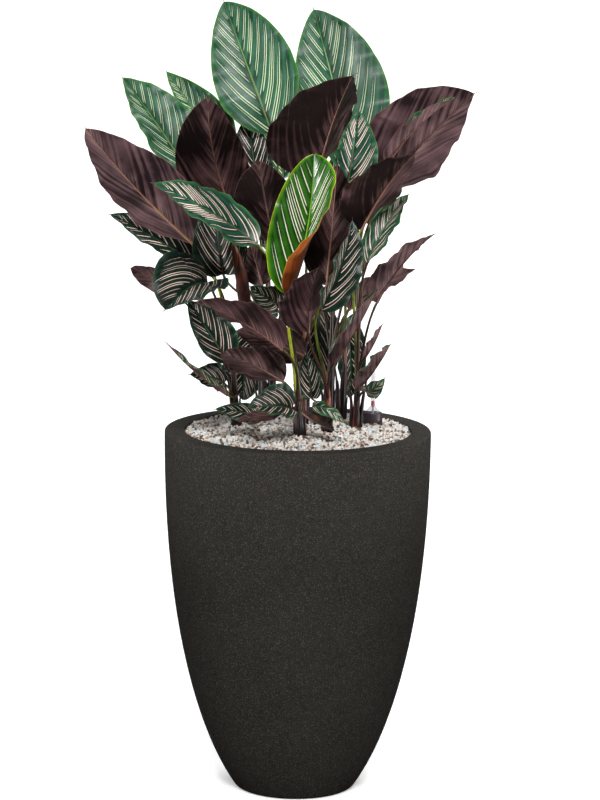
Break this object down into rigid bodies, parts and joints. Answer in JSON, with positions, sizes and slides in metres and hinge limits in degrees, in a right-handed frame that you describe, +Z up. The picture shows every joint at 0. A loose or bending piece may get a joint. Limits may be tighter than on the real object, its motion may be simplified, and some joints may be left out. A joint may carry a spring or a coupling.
{
  "type": "potted calathea",
  "caption": "Striped calathea with purple leaf backs in a tall tapering dark planter, with pebble dressing and a water gauge.",
  "frame": {"origin": "centre of the planter's flat foot, on the surface that it stands on", "axes": "+Z up out of the pot, -Y towards the side seen in the picture, +X to that side's right"},
  "size_m": [0.5635, 0.5027, 1.1806],
  "materials": {
    "planter_composite": "matt, granular",
    "clay_granules": "matt, porous",
    "pebbles": "matt, mixed pale and dark",
    "gauge_housing": "satin",
    "gauge_clear": "clear",
    "gauge_float": "gloss",
    "stalks": "satin, olive to maroon",
    "leaf_blades": "satin, pink and cream stripes above, purple below",
    "young_leaf": "glossy, cream stripes above, orange-brown below",
    "furled_leaf": "satin, orange-brown tip on a maroon shaft",
    "dry_leaf": "dry, matt"
  },
  "bodies": {
    "root": {"clay_fill": "clay_granules", "gauge_cap": "gauge_clear", "gauge_float": "gauge_float", "gauge_housing": "gauge_housing", "gravel": "pebbles", "leaf_behind_folded_left": "leaf_blades", "leaf_crown_behind": "leaf_blades", "leaf_crown_far_left": "leaf_blades", "leaf_crown_inner": "leaf_blades", "leaf_crown_left": "leaf_blades", "leaf_crown_right": "leaf_blades", "leaf_crown_small": "leaf_blades", "leaf_drooping_left": "leaf_blades", "leaf_dry_curled": "dry_leaf", "leaf_far_left": "leaf_blades", "leaf_far_right": "leaf_blades", "leaf_folded_left": "leaf_blades", "leaf_front_right": "leaf_blades", "leaf_furled": "furled_leaf", "leaf_inner_dark_left": "leaf_blades", "leaf_inner_dark_low": "leaf_blades", "leaf_inner_dark_right": "leaf_blades", "leaf_inner_left": "leaf_blades", "leaf_inner_low": "leaf_blades", "leaf_inner_right": "leaf_blades", "leaf_low_dark": "leaf_blades", "leaf_low_far_left": "leaf_blades", "leaf_low_front": "leaf_blades", "leaf_low_green": "leaf_blades", "leaf_low_left": "leaf_blades", "leaf_low_on_gravel": "leaf_blades", "leaf_low_rolled": "leaf_blades", "leaf_middle_dark": "leaf_blades", "leaf_middle_small": "leaf_blades", "leaf_pink_striped": "leaf_blades", "leaf_reaching_left": "leaf_blades", "leaf_right_behind": "leaf_blades", "leaf_right_folded": "leaf_blades", "leaf_right_high": "leaf_blades", "leaf_right_low": "leaf_blades", "leaf_right_slim": "leaf_blades", "leaf_right_tiny": "leaf_blades", "leaf_rolled_right": "leaf_blades", "leaf_under_far_left": "leaf_blades", "leaf_upright_centre": "leaf_blades", "leaf_upright_left": "leaf_blades", "leaf_upright_right": "leaf_blades", "leaf_upright_small": "leaf_blades", "leaf_young_lime": "young_leaf", "planter": "planter_composite", "stalks_back": "stalks", "stalks_back_left": "stalks", "stalks_back_right": "stalks", "stalks_centre": "stalks", "stalks_front_left": "stalks", "stalks_front_right": "stalks", "stalks_left": "stalks", "stalks_rear_left": "stalks", "stalks_rear_right": "stalks", "stalks_right": "stalks"}
  },
  "joints": []
}
